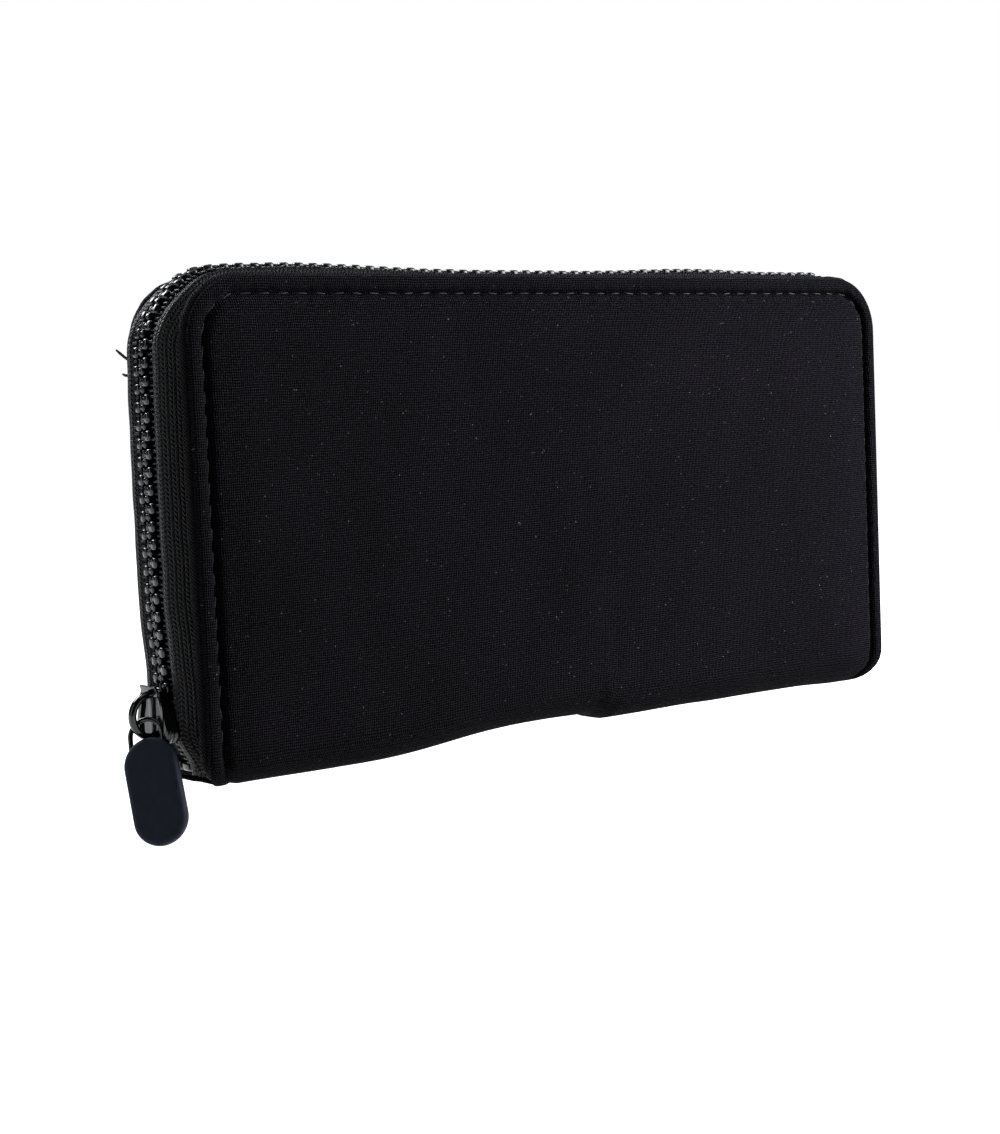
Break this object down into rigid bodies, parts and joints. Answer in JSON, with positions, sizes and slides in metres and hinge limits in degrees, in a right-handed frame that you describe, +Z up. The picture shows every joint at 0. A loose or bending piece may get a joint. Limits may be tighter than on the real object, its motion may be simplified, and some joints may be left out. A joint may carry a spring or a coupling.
{
  "type": "zip-around pouch",
  "caption": "Padded fabric pouch folded at its base, closed by a zip round three sides, with a slider and rubber pull at one end.",
  "frame": {"origin": "middle of the underside of the fold, which the closed pouch stands on", "axes": "+X along the pouch away from the zip pull, +Y from the front cover to the back cover, +Z up from the fold to the zip"},
  "size_m": [0.2115, 0.0262, 0.1107],
  "materials": {
    "neoprene": "matte knit",
    "binding": "matte knit",
    "lining": "satin woven",
    "tape": "matte woven",
    "teeth": "gloss",
    "zip_metal": "gloss black",
    "pull_rubber": "matte",
    "card_fabric": "satin woven"
  },
  "bodies": {
    "back_cover": {"back_panel": "neoprene", "back_binding": "binding", "spine_panel": "neoprene", "spine_lining": "lining", "back_lining": "lining", "zip_tape_back": "tape", "zip_teeth_back": "teeth", "zip_stops_back": "teeth", "left_gusset": "lining", "right_gusset": "lining", "coin_pocket_wall": "card_fabric", "coin_pocket_facing": "card_fabric", "coin_tape_lower": "tape", "coin_tape_upper": "tape", "coin_coil_lower": "teeth", "coin_coil_upper": "teeth", "coin_stops": "zip_metal"},
    "front_cover": {"front_panel": "neoprene", "front_binding": "binding", "front_lining": "lining", "zip_tape_front": "tape", "zip_teeth_front": "teeth", "zip_stops_front": "teeth", "card_tier_1": "card_fabric", "card_tier_2": "card_fabric", "card_tier_3": "card_fabric", "card_tier_4": "card_fabric"},
    "slider": {"slider_body": "zip_metal", "slider_bail": "zip_metal"},
    "puller": {"pull_ring": "zip_metal", "pull_tab": "pull_rubber"},
    "coin_slider": {"coin_slider_body": "zip_metal", "coin_slider_bail": "zip_metal"},
    "coin_puller": {"coin_pull_tab": "zip_metal"}
  },
  "joints": [
    {"name": "cover_open", "type": "hinge", "parent": "back_cover", "child": "front_cover", "pos_m": [0, -0.01, 0.0015], "axis": [1, 0, 0], "range_deg": [0, 75], "deforming": ["left_gusset", "right_gusset", "zip_teeth_front", "zip_teeth_back"]},
    {"name": "slider_travel", "type": "slide", "parent": "back_cover", "child": "slider", "axis": [0, 0, 1], "range_m": [0, 0.065]},
    {"name": "puller_swing", "type": "hinge", "parent": "slider", "child": "puller", "pos_m": [-0.10423, 0, 0.0144], "axis": [-0.6662, 0.7208, -0.1914], "range_deg": [0, 100]},
    {"name": "coin_slider_travel", "type": "slide", "parent": "back_cover", "child": "coin_slider", "axis": [-1, 0, 0], "range_m": [0, 0.12], "deforming": ["coin_coil_lower", "coin_coil_upper"]},
    {"name": "coin_puller_swing", "type": "hinge", "parent": "coin_slider", "child": "coin_puller", "pos_m": [0.06, 0.00405, 0.078], "axis": [0, 0, -1], "range_deg": [0, 35]}
  ]
}
